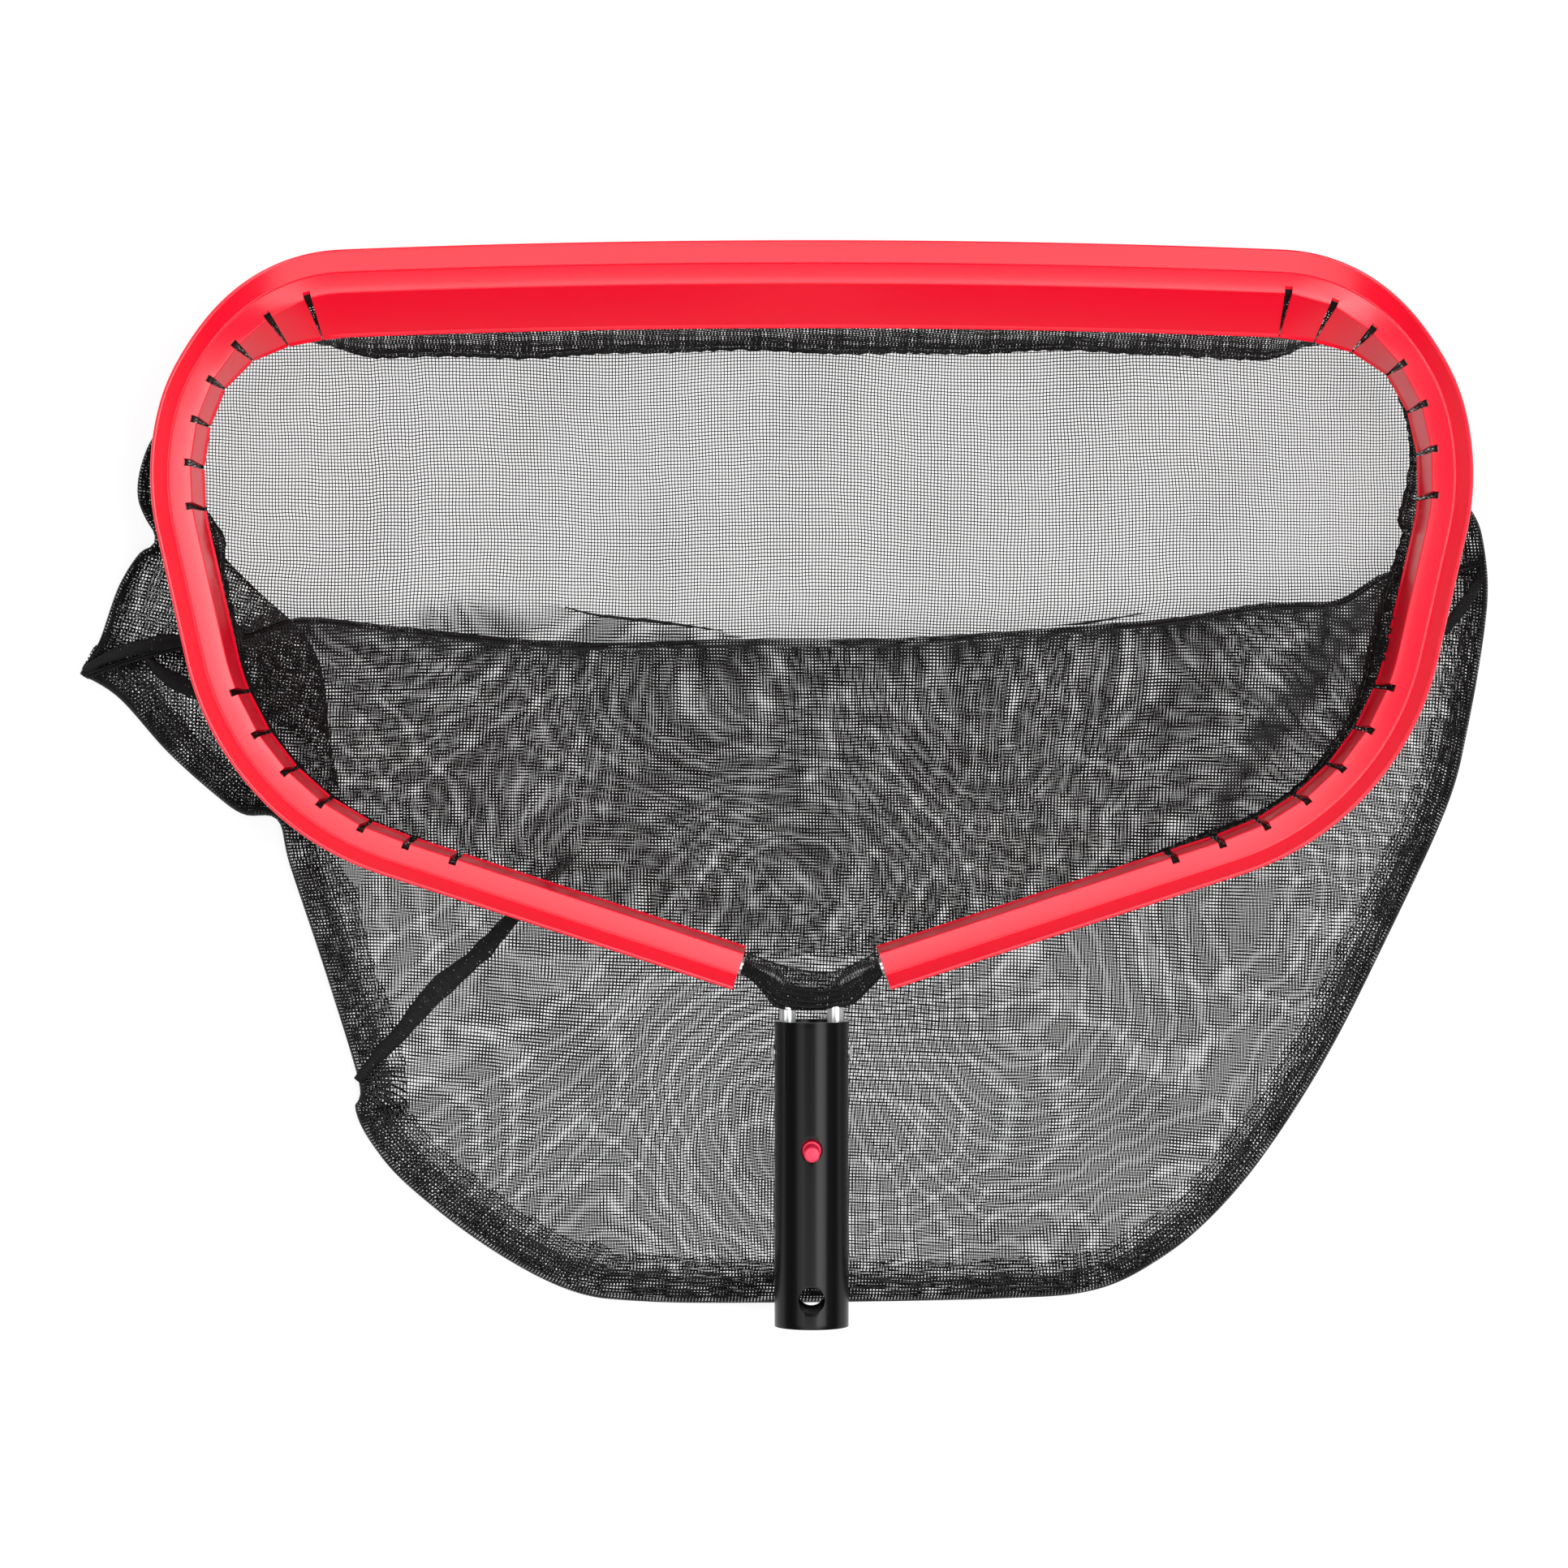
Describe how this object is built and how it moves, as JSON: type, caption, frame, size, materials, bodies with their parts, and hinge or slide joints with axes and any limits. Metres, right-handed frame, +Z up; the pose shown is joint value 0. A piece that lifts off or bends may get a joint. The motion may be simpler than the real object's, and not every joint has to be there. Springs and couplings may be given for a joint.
{
  "type": "leaf skimmer net",
  "caption": "Pool leaf rake head: rod frame in slit plastic edging, deep mesh bag hung from the frame, short tube handle with sprung push buttons.",
  "frame": {"origin": "centre of the object's footprint, on the surface that the bag lies on", "axes": "+X to the right across the mouth, +Y from the handle's end to the top bar, +Z up out of the mouth"},
  "size_m": [0.5442, 0.4166, 0.0543],
  "materials": {
    "edging_red": "satin moulded",
    "button_red": "satin moulded",
    "bare_aluminium": "drawn, bright",
    "black_anodised": "black anodised, satin",
    "spring_steel": "rolled",
    "net_mesh": "fine open square mesh",
    "hem_tape": "folded mesh tape, stitched"
  },
  "bodies": {
    "root": {"frame_rod": "bare_aluminium", "edging": "edging_red", "mouth_hem": "hem_tape", "net_front_panel": "net_mesh", "net_back_panel": "net_mesh", "seam_binding": "hem_tape", "handle_tube": "black_anodised", "left_rivet": "bare_aluminium", "left_rivet_stem": "spring_steel", "right_rivet": "bare_aluminium", "right_rivet_stem": "spring_steel", "clip_bend": "spring_steel"},
    "front_button_leg": {"front_clip_leg": "spring_steel", "front_button": "button_red"},
    "rear_button_leg": {"rear_clip_leg": "spring_steel", "rear_button": "button_red"}
  },
  "joints": [
    {"name": "front_button_press", "type": "hinge", "parent": "root", "child": "front_button_leg", "pos_m": [0, -0.1836, 0.0351], "axis": [-1, 0, 0], "range_deg": [0, 8.6], "stiffness_Nm_per_rad": 2, "springref_deg": -3.44},
    {"name": "rear_button_press", "type": "hinge", "parent": "root", "child": "rear_button_leg", "pos_m": [0, -0.1836, 0.0309], "axis": [1, 0, 0], "range_deg": [0, 8.6], "stiffness_Nm_per_rad": 2, "springref_deg": -3.44}
  ]
}
